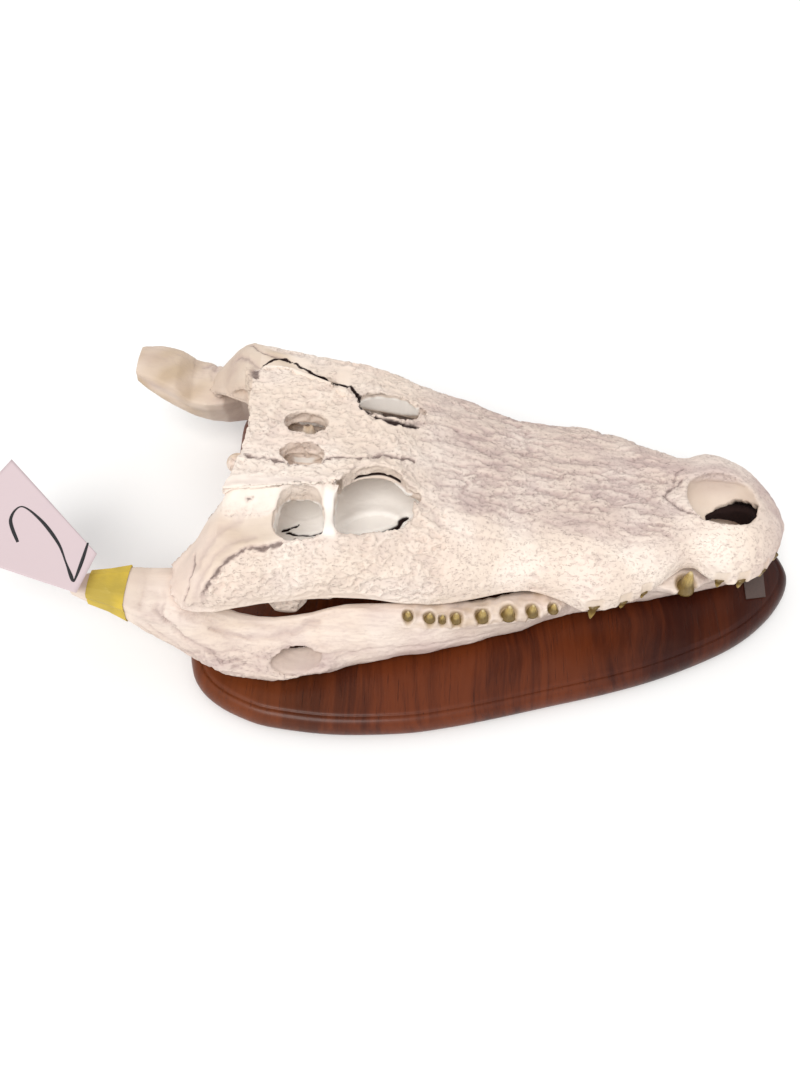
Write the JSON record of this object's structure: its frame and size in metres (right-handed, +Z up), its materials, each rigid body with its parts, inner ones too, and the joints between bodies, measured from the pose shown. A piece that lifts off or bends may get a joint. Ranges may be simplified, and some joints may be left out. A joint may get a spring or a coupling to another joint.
{
  "type": "mounted crocodile skull",
  "caption": "Long crocodile skull with its lower jaw, resting flat on an egg-shaped varnished board, with a paper tag taped to one end of the jaw",
  "frame": {"origin": "middle of the whole model's footprint, on the underside of the board", "axes": "+X towards the tip of the snout, +Y towards the animal's left side, +Z up"},
  "size_m": [0.7742, 0.419, 0.1724],
  "materials": {
    "bone": "dry cream bone, matt, finely pitted",
    "varnished_wood": "red-brown wood under a glossy varnish",
    "grey_card": "bare grey card",
    "paper": "pale lilac-white paper",
    "tape": "yellow adhesive tape"
  },
  "bodies": {
    "root": {"snout": "bone", "skull_table": "bone", "brow": "bone", "braincase": "bone", "cheek_left": "bone", "cheek_right": "bone", "palate": "bone", "mandible_left": "bone", "mandible_right": "bone", "plaque": "varnished_wood", "label_card": "grey_card", "tag_card": "paper", "tag_tape": "tape"}
  },
  "joints": []
}
